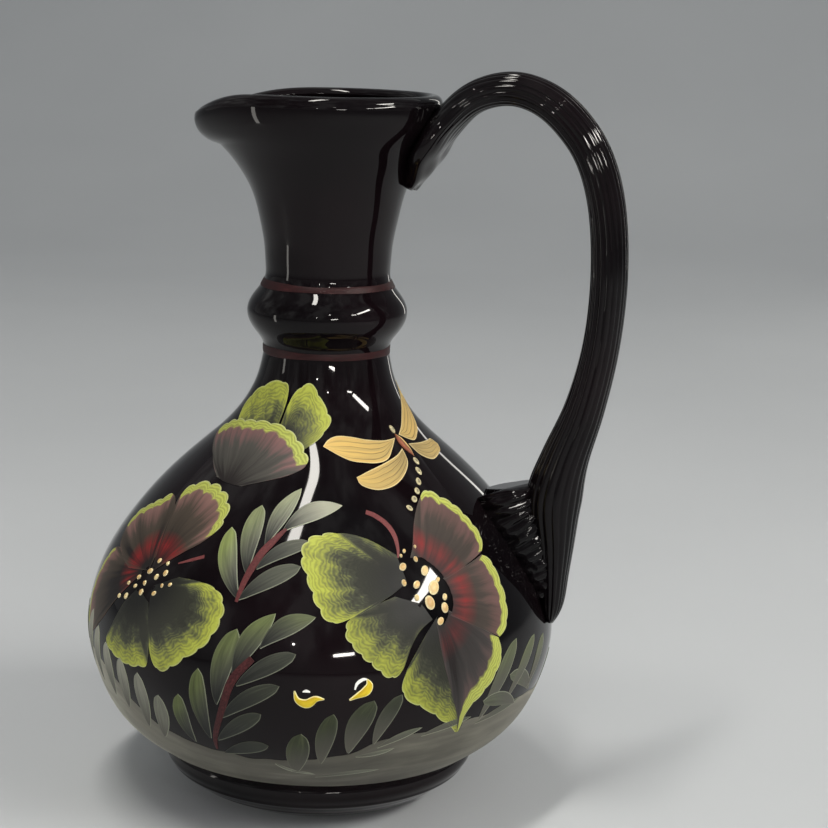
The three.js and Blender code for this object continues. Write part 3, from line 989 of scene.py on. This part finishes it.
class Value:
    """A number or colour that varies over a surface: a node's output, which takes part in sums."""

    def __init__(self, tree, socket):
        self.tree, self.socket = tree, socket

    def through(self, operation, *others, clamp=False):
        feeds = dict(enumerate((self, *others)))
        return outputs(self.tree, "Math", feeds, operation=operation, use_clamp=clamp)[0]

    __add__ = partialmethod(through, "ADD")
    __sub__ = partialmethod(through, "SUBTRACT")
    __rsub__ = partialmethod(through, "MULTIPLY_ADD", -1)
    __mul__ = partialmethod(through, "MULTIPLY")
    __truediv__ = partialmethod(through, "DIVIDE")
    __lt__ = partialmethod(through, "LESS_THAN")
    __gt__ = partialmethod(through, "GREATER_THAN")
    clamped = partialmethod(through, "ADD", 0, clamp=True)
    size = partialmethod(through, "ABSOLUTE")
    wave = partialmethod(through, "SINE")


def plug(value, socket):
    """Feeds a socket with a Value, a colour, a vector or a number."""
    if isinstance(value, Value):
        value.tree.links.new(value.socket, socket)
    elif socket.type == "RGBA":
        socket.default_value = (*value, 1)
    else:
        socket.default_value = value


def outputs(tree, kind, feeds, **settings):
    """The outputs of a new shader node with its attributes set and its inputs fed."""
    made = tree.nodes.new("ShaderNode" + kind)
    for key, value in settings.items():
        setattr(made, key, value)
    for key, value in feeds.items():
        plug(value, made.inputs[key])
    return [Value(tree, socket) for socket in made.outputs]


def texture_place(tree, kind="Object"):
    return Value(tree, tree.nodes.new("ShaderNodeTexCoord").outputs[kind])


def noise(where, scale, detail, roughness=0.5):
    feeds = {"Vector": where, "Scale": scale, "Detail": detail, "Roughness": roughness}
    return outputs(where.tree, "TexNoise", feeds)[0]


def object_noise(tree, scale, detail=2):
    return noise(texture_place(tree), scale, detail)


def bristle_noise(x, y, seed, scale_x, scale_y, detail=3):
    """Noise drawn out along a stroke, different for every seed."""
    feeds = {0: x * scale_x, 1: y * scale_y, 2: seed * SEED_STEP}
    return noise(outputs(seed.tree, "CombineXYZ", feeds)[0], 1, detail, 0.6)


def ranged(value, low, high):
    feeds = {"Value": value, "To Min": low, "To Max": high}
    return outputs(value.tree, "MapRange", feeds)[0]


def mixed(factor, first, second):
    """Two colours mixed; `factor` is a Value, and each colour a Value or a constant."""
    feeds = {0: factor, 6: first, 7: second}
    return outputs(factor.tree, "Mix", feeds, data_type="RGBA")[2]


def ramp(source, *stops):
    """A colour ramp on a value, from (place, colour) stops."""
    made = source.tree.nodes.new("ShaderNodeValToRGB")
    elements = made.color_ramp.elements
    while len(elements) < len(stops):
        elements.new(0.5)
    for element, (place, colour) in zip(elements, stops):
        element.position = place
        element.color = (*colour, 1)
    plug(source, made.inputs[0])
    return Value(source.tree, made.outputs[0])


def faded(colour, share, other=(0, 0, 0)):
    """A colour that keeps `share` of itself and takes the rest from another."""
    return tuple(share * a + (1 - share) * b for a, b in zip(colour, other))


def new_material(name):
    """A material with only a Principled shader, its tree and that shader's node."""
    material = bpy.data.materials.new(name)
    material.use_nodes = True
    tree = material.node_tree
    return material, tree, tree.nodes["Principled BSDF"]


def finish_shader(shader, colour, roughness, relief, strength, distance, ior):
    """Wires a colour, a gloss and a fine relief to the shader."""
    bump = outputs(relief.tree, "Bump", {"Strength": strength, "Distance": distance, "Height": relief})[0]
    feeds = {"Base Color": colour, "Roughness": roughness, "Normal": bump, "IOR": ior}
    for name, value in feeds.items():
        plug(value, shader.inputs[name])


# ---- materials

# Stroke seeds are this far apart in the noise that they pick.
SEED_STEP = 7.3
# Depth in millimetres over which a plum petal turns from dark to plum.
PLUM_DEPTH = 25
# Width in millimetres of the fine pale line along painted edges.
EDGE_LINE = 0.36
SEAM_LINE = 0.26
GLASS_IOR = 1.28
ENAMEL_IOR = 1.3


def glass_material():
    material, tree, shader = new_material("black_glass")
    tint = ramp(object_noise(tree, 18), (0.3, (0.0018, 0.0016, 0.002)), (0.7, (0.006, 0.003, 0.004)))
    polish = ranged(object_noise(tree, 90, 4), 0.015, 0.06)
    finish_shader(shader, tint, polish, object_noise(tree, 55, 1), 0.12, 0.0012, GLASS_IOR)
    return material


def enamel(name, recipe, *options, gloss=(0.42, 0.58)):
    """A satin enamel. The recipe makes a colour and a relief from the six numbers that every painted
    point carries, which `Coat` lays down as brush and paint."""
    material, tree, shader = new_material(name)
    numbers = []
    for key in ("brush", "paint"):
        vector = outputs(tree, "Attribute", {}, attribute_name=key)[1]
        numbers += outputs(tree, "SeparateXYZ", {0: vector})
    colour, relief = recipe(*numbers, *options)
    finish_shader(shader, colour, ranged(relief, *gloss), relief, 0.2, 0.0002, ENAMEL_IOR)
    return material


def agate_ripple(rim, pitch, shake):
    """Fine arcs that follow a petal's edge, as a loaded brush leaves them: 0 to 1."""
    wander = object_noise(rim.tree, 260) * shake
    return ((rim + wander) * (2 * math.pi / pitch)).wave() * 0.5 + 0.5


def lime_petal(heart, along, rim, seed, depth, side, fresh):
    """Slate at the root, worked out softly to lime, with fine arcs that follow the rim."""
    streak = bristle_noise(along, heart, seed, 0.42, 1.5)
    ragged = streak * 0.45 + object_noise(rim.tree, 240, 3) * 0.9 - 0.62
    tone = (1 - (rim / depth + ragged)).clamped()
    arcs = (agate_ripple(rim, 1.35, 5) - 0.5) * (tone * 0.24 + 0.07)
    # `fresh` below one darkens every tone, which is painted shade.
    colour = ramp(
        (tone + arcs).clamped(),
        (0.0, faded((0.026, 0.027, 0.020), fresh)),
        (0.25, faded((0.050, 0.053, 0.034), fresh)),
        (0.5, faded((0.15, 0.162, 0.052), fresh)),
        (0.78, faded((0.31, 0.335, 0.055), fresh)),
        (1.0, faded((0.40, 0.435, 0.068), fresh)),
    )
    dark = ((0.5 - heart).clamped() * 3.2).clamped()
    colour = mixed(dark, colour, (0.010, 0.010, 0.009))
    colour = mixed((rim < EDGE_LINE) * 0.5, colour, (0.50, 0.53, 0.26))
    away = (heart * 2.2 - 0.5).clamped()
    colour = mixed((side < SEAM_LINE) * 0.55 * away, colour, (0.42, 0.45, 0.34))
    return colour, streak * 0.5 + arcs * 2.5


def plum_petal(heart, along, rim, seed, band, side, glow, middle, edge, seam):
    """A dark, softly pleated petal that turns plum towards a lime rim, with `glow` of red at its root."""
    bent = along + object_noise(rim.tree, 90) * 5
    streak = bristle_noise(bent, heart, seed, 0.5, 1.3)
    pleat = bristle_noise(bent, heart, seed, 0.2, 0.7, 1)
    inner = ramp(
        (1 - rim / PLUM_DEPTH) + (streak + pleat - 1) * 0.5,
        (0.08, (0.012, 0.009, 0.009)),
        (0.28, faded(middle, 0.6)),
        (0.60, middle),
        (0.76, faded(middle, 0.45, edge)),
        (0.92, edge),
    )
    ring = (1 - (heart - 0.30).size() * 5.6).clamped()
    strength = (pleat * (2.9 * glow) - 0.9 * glow).clamped()
    inner = mixed(ring * strength, inner, (0.19, 0.013, 0.014))
    fine = bristle_noise(bent, heart, seed, 1.1, 0.9, 2)
    crease = ((0.47 - fine).clamped() * 3).clamped() * (1.15 - heart).clamped()
    inner = mixed(crease, inner, (0.020, 0.017, 0.016))
    lime = ramp(agate_ripple(rim, 1.1, 3), (0.0, (0.27, 0.295, 0.06)), (1.0, (0.43, 0.47, 0.10)))
    wander = (object_noise(rim.tree, 330) - 0.5) * 2.6
    rimmed = ((1.12 - (rim + wander) / band) * 4).clamped()
    colour = mixed(rimmed, inner, lime)
    colour = mixed((side < 0.25) * seam, colour, (0.34, 0.31, 0.28))
    colour = mixed((rim < EDGE_LINE) * 0.5, colour, (0.54, 0.56, 0.32))
    return colour, streak


def leaf_stroke(along, across, inset, seed, light, green, base):
    """A leaf that comes out of `base` colour and turns grey or fresh green at its tip."""
    streak = bristle_noise(across, along, seed, 4, 1.6)
    spread = (streak - 0.5) * 0.5
    tone = (light * 1.15 + spread).clamped()
    grey = ramp(
        tone, (0.15, (0.03, 0.032, 0.027)), (0.5, (0.095, 0.098, 0.080)), (0.95, (0.33, 0.33, 0.268))
    )
    fresh = ramp(
        tone, (0.15, (0.035, 0.045, 0.015)), (0.5, (0.13, 0.16, 0.052)), (0.95, (0.31, 0.37, 0.12))
    )
    ripe = ((across * -0.22 + along) * 1.7 - 0.35).clamped()
    rise = (along * 1.6 + spread - 0.16).clamped()
    colour = mixed(rise, base, mixed(ripe * green, grey, fresh))
    edge = (inset < SEAM_LINE) * ((across > 0) * 0.45 + 0.12)
    return mixed((edge * (light + 0.35)).clamped(), colour, (0.42, 0.45, 0.33)), streak


def wing_stroke(along, across, inset, seed, bright, _):
    """Gold, olive and darker at the root, with fine brown veins that run to the tip."""
    shake = bristle_noise(along, across, seed, 3, 1, 2)
    vein = ((across * 2.3 + shake * 0.8) * math.pi).wave().size()
    veined = (1 - vein * 2.6).clamped() * (1 - along.through("POWER", 2.2)).clamped()
    streak = bristle_noise(across, along, seed, 6, 1.6)
    gold = ramp(
        bright * 0.3 + (streak * 0.55 + along * 0.3),
        (0.28, (0.20, 0.15, 0.070)),
        (0.5, (0.38, 0.28, 0.11)),
        (0.72, (0.56, 0.38, 0.12)),
        (0.95, (0.70, 0.47, 0.14)),
    )
    colour = mixed(veined, gold, (0.085, 0.055, 0.024))
    return mixed((inset < 0.27) * 0.75, colour, (0.70, 0.58, 0.32)), streak


def bead_stroke(out, angle, _, seed, tone, __):
    """A warm dot with a pale rim and a dull grain."""
    grain = object_noise(out.tree, 900)
    warm = ramp(tone, (0.0, (0.46, 0.29, 0.12)), (0.5, (0.70, 0.47, 0.19)), (1.0, (0.66, 0.54, 0.28)))
    rim = (out * 2.6 - 1.5).clamped()
    colour = mixed(rim * 0.8, warm, (0.84, 0.76, 0.48))
    dull = ((grain - 0.45).clamped() * 1.6).clamped()
    return mixed(dull, colour, (0.34, 0.21, 0.08)), grain


def thorax_stroke(along, across, inset, seed, tone, _):
    """The body's left half is russet and its right half ochre; each bead is pale round a dark middle."""
    streak = bristle_noise(across, along, seed, 3, 2)
    body = mixed((across * 4).clamped(), (0.26, 0.085, 0.045), (0.56, 0.38, 0.15))
    body = mixed((across.size() < 0.14) * 0.8, body, (0.05, 0.025, 0.015))
    pale = ramp(streak, (0.3, (0.42, 0.35, 0.19)), (0.7, (0.58, 0.53, 0.34)))
    hollow = (2.2 - along * 3.5).clamped()
    pale = mixed(hollow * 0.8, pale, (0.13, 0.12, 0.085))
    return mixed(seed > BEAD_SEED - 1, body, pale), streak


def maroon_stroke(along, across, inset, seed, light, _):
    """Dark red line paint; a stroke's first tone makes it lighter."""
    streak = bristle_noise(across, along, seed, 2.5, 40)
    colour = ramp(
        object_noise(seed.tree, 120) * 0.2 + (streak * 0.45 + light * 0.6),
        (0.2, (0.014, 0.004, 0.004)),
        (0.42, (0.034, 0.008, 0.009)),
        (0.7, (0.13, 0.032, 0.033)),
        (0.95, (0.23, 0.070, 0.068)),
    )
    return colour, streak


def crescent_stroke(along, across, inset, seed, _, white):
    """Yellow with a pale edge, or white."""
    streak = bristle_noise(across, along, seed, 2, 2.5)
    yellow = ramp(streak, (0.3, (0.55, 0.36, 0.012)), (0.65, (0.74, 0.58, 0.03)))
    yellow = mixed((inset < 0.3) * 0.75, yellow, (0.86, 0.82, 0.5))
    return mixed(white, yellow, (0.88, 0.88, 0.84)), streak


def ground_stroke(around, share, inset, seed, pale, _):
    """Thin grey enamel wiped round the body, with the brush's sweep in it, and painted reflection that makes
    it paler towards the body's sides.
    """
    sweep = bristle_noise(around, share, seed, 0.028, 5, 5)
    cloud = bristle_noise(around, share, seed, 0.05, 1.2, 2)
    # `pale` lightens the band towards the body's sides seen from the camera, as painted reflection.
    colour = ramp(
        (cloud * 0.25 + (sweep * 0.55 + pale * 0.6) - share * 0.1).clamped(),
        (0.2, (0.045, 0.043, 0.036)),
        (0.45, (0.10, 0.095, 0.078)),
        (0.7, (0.22, 0.211, 0.172)),
        (0.95, (0.60, 0.58, 0.47)),
    )
    return colour, sweep


def paint_flowers(skin, beads, maroon):
    lime = enamel("lime_petal_paint", lime_petal, 1.0)
    # A copy of the lime paint darkened to 0.8 for the right flower's lowest petals: painted shade.
    shaded_lime = enamel("dull_lime_petal_paint", lime_petal, 0.80)
    plums = {
        "plum": (0.95, (0.048, 0.038, 0.032), (0.128, 0.070, 0.065), 0.06),
        "rosy": (1.25, (0.060, 0.046, 0.035), (0.21, 0.112, 0.10), 0.06),
        "dusk": (0.3, (0.036, 0.032, 0.031), (0.085, 0.056, 0.054), 0.1),
        "dusky": (0.0, (0.064, 0.060, 0.053), (0.20, 0.10, 0.098), 0.3),
    }
    plum, rosy, dusk, dusky = (enamel(f"{key}_petal_paint", plum_petal, *plums[key]) for key in plums)
    make_petals(skin, "top_flower", "back", TOP_BACK, "green_enamel", lime)
    make_petals(skin, "top_flower", "front", TOP_FRONT, "green_enamel", dusky)
    make_petals(skin, "left_flower", "lime", LEFT_LIME, "plum_enamel", lime)
    make_petals(skin, "left_flower", "plum", LEFT_PLUM, "plum_enamel", rosy)
    make_heart(skin, "left_flower", LEFT_STAMENS, LEFT_TENDRIL, beads, maroon)
    # The right flower's lowest petals take the darkened lime, as painted shade.
    make_petals(skin, "right_flower", "low", RIGHT_LOW, "plum_enamel", shaded_lime)
    make_petals(skin, "right_flower", "lime", RIGHT_LIME, "plum_enamel", lime)
    make_petals(skin, "right_flower", "dusk", RIGHT_DUSK, "plum_enamel", dusk)
    make_petals(skin, "right_flower", "plum", RIGHT_PLUM, "plum_enamel", plum)
    make_heart(skin, "right_flower", RIGHT_STAMENS, RIGHT_TENDRIL, beads, maroon)


def paint_everything(skin):
    leaf = enamel("leaf_paint", leaf_stroke, (0.013, 0.014, 0.013))
    grass = enamel("grass_paint", leaf_stroke, (0.085, 0.081, 0.066))
    maroon = enamel("maroon_paint", maroon_stroke)
    beads = enamel("bead_paint", bead_stroke, gloss=(0.2, 0.35))
    make_ground_band(skin, enamel("ground_paint", ground_stroke))
    make_leaves(skin, "ground_grass", GRASS + BRUSH_TAILS + back_grass(), "ground_band", grass)
    paint_flowers(skin, beads, maroon)
    sprays = {"upper": (UPPER_LEAVES, UPPER_STEM, 0.5), "lower": (LOWER_LEAVES, LOWER_STEM, 0.25)}
    for place, (leaves, stem, light) in sprays.items():
        make_leaves(skin, f"{place}_spray_leaves", leaves, f"{place}_leaf_spray", leaf)
        make_stem(skin, f"{place}_spray_stem", stem, light, f"{place}_leaf_spray", maroon)
    make_dragonfly(skin, enamel("wing_paint", wing_stroke), enamel("thorax_paint", thorax_stroke))
    make_crescents(skin, enamel("crescent_paint", crescent_stroke))
    make_neck_band(skin, "upper_neck_band", UPPER_BAND_HEIGHT, maroon)
    make_neck_band(skin, "lower_neck_band", LOWER_BAND_HEIGHT, maroon)


# ---- light, floor and camera

LAMPS_AIM = Vector((0, 0, 0.11))
LAMP_COLOUR = (1, 0.965, 0.9)

# Floor and backdrop, in metres.
FLOOR_HALF_WIDTH = 5
FLOOR_FRONT = -5
COVE_START = 1.1
COVE_RADIUS = 1.2
BACKDROP_HEIGHT = 2.2


def area_light(name, direction, distance, size, power, roll=0, spread=180):
    """A rectangular lamp that faces the belly from a distance in metres. Size is width and length."""
    towards = Vector(direction).normalized()
    data = bpy.data.lights.new(name, "AREA")
    data.shape = "RECTANGLE"
    data.size, data.size_y = size
    data.energy = power
    data.color = LAMP_COLOUR
    data.spread = math.radians(spread)
    lamp = new_object(name, data)
    lamp.location = LAMPS_AIM + towards * distance
    facing = towards.to_track_quat("Z", "Y").to_matrix().to_4x4()
    lamp.rotation_euler = (facing @ Matrix.Rotation(math.radians(roll), 4, "Z")).to_euler()


def make_lights():
    """A long tube overhead, windows and lamps for the glints, and tall thin edge lights."""
    area_light("overhead_strip", (-0.08, -0.27, 0.96), 1.6, (0.13, 0.8), 15, roll=6)
    area_light("side_window", (0.78, -0.2, 0.57), 1.5, (0.09, 0.62), 13, roll=-72)
    area_light("front_lamp", (0.435, -0.9, 0.195), 2.2, (0.36, 0.065), 0.8, roll=8, spread=60)
    area_light("small_lamp", (0.03, -0.96, 0.29), 2.2, (0.03, 0.03), 0.1, spread=60)
    area_light("shoulder_lamp", (0.76, -0.5, 0.5), 1.8, (0.2, 0.05), 0.3, spread=60)
    area_light("neck_lamp", (0.3, -0.85, 0.55), 1.8, (0.05, 0.03), 0.1, spread=60)
    area_light("left_card", (-0.88, -0.46, -0.02), 0.5, (0.035, 0.24), 0.16)
    area_light("right_edge", (0.3, 0.93, 0.2), 1.3, (0.05, 0.9), 0.7)


def make_world():
    """A dim room: soft, uneven daylight with darker and lighter upright patches."""
    world = bpy.data.worlds.new("studio")
    world.use_nodes = True
    where = texture_place(world.node_tree, "Generated")
    stretched = outputs(where.tree, "Mapping", {"Vector": where, "Scale": (3.2, 3.2, 0.8)})[0]
    light = ramp(
        noise(stretched, 1.3, 3, 0.55),
        (0.38, (0.10, 0.10, 0.105)),
        (0.52, (0.27, 0.275, 0.28)),
        (0.62, (0.62, 0.63, 0.62)),
    )
    height = outputs(where.tree, "SeparateXYZ", {0: where})[2].size()
    near_floor = (1 - height * 3.5).clamped()
    background = where.tree.nodes["Background"]
    plug(mixed(near_floor, light, (0.30, 0.31, 0.31)), background.inputs["Color"])
    background.inputs["Strength"].default_value = 1.0
    bpy.context.scene.world = world


def make_floor():
    """A pale floor that curves up far behind the pitcher."""
    bend = np.radians(np.arange(0, 91, 5))
    cove = COVE_RADIUS * np.column_stack([1 + np.sin(bend), 1 - np.cos(bend)])
    wall = cove[-1, 0]
    path = np.vstack([(FLOOR_FRONT, 0), (COVE_START, 0), cove, (wall, 1.3), (wall, BACKDROP_HEIGHT)])
    points = [(x, y, z) for y, z in path for x in (-FLOOR_HALF_WIDTH, FLOOR_HALF_WIDTH)]
    mesh = bpy.data.meshes.new("floor")
    mesh.from_pydata(points, [], [(i, i + 1, i + 3, i + 2) for i in range(0, len(points) - 2, 2)])
    mesh.shade_smooth()
    material, tree, shader = new_material("pale_floor")
    shade = ramp(object_noise(tree, 3, 3), (0.3, (0.46, 0.48, 0.50)), (0.7, (0.49, 0.51, 0.53)))
    plug(shade, shader.inputs["Base Color"])
    shader.inputs["Roughness"].default_value = 0.8
    mesh.materials.append(material)
    new_object("floor", mesh)


# The camera stands this far from the pitcher's axis, turned from the front towards the handle.
CAMERA_DISTANCE = 639.7
CAMERA_TURN = 15
CAMERA_HEIGHT = 260.4
CAMERA_DOWN = 11.79
CAMERA_ASIDE = 2.595
CAMERA_ROLL = 1.577
LENS = 87.1


def make_camera():
    down, aside, roll = (math.radians(v) for v in (CAMERA_DOWN, CAMERA_ASIDE, CAMERA_ROLL))
    right = Vector((math.cos(aside), -math.sin(aside), 0))
    forward = Vector((math.sin(aside) * math.cos(down), math.cos(aside) * math.cos(down), -math.sin(down)))
    up = right.cross(forward)
    tilted_right = math.cos(roll) * right + math.sin(roll) * up
    tilted_up = -math.sin(roll) * right + math.cos(roll) * up
    frame_of_view = Matrix((tilted_right, tilted_up, -forward)).transposed().to_4x4()
    place = Matrix.Translation(Vector((0, -CAMERA_DISTANCE, CAMERA_HEIGHT)) * MM)
    data = bpy.data.cameras.new("camera")
    data.lens = LENS
    data.sensor_width = 36
    data.clip_start = 0.01
    camera = new_object("camera", data)
    camera.matrix_world = Matrix.Rotation(math.radians(CAMERA_TURN), 4, "Z") @ place @ frame_of_view
    bpy.context.scene.camera = camera


# ---- the scene


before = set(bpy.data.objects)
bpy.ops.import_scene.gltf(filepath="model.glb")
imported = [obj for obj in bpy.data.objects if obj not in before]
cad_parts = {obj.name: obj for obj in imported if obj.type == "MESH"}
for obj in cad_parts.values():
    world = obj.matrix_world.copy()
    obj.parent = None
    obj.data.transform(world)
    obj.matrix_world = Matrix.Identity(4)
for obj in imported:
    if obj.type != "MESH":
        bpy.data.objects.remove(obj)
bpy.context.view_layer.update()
skin = Skin(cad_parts["vessel"])
glass = glass_material()
make_vessel(skin, glass)
make_foot(glass)
make_handle(skin, glass)
paint_everything(skin)
make_lights()
make_world()
make_floor()
make_camera()
bpy.context.scene.view_settings.view_transform = "Standard"
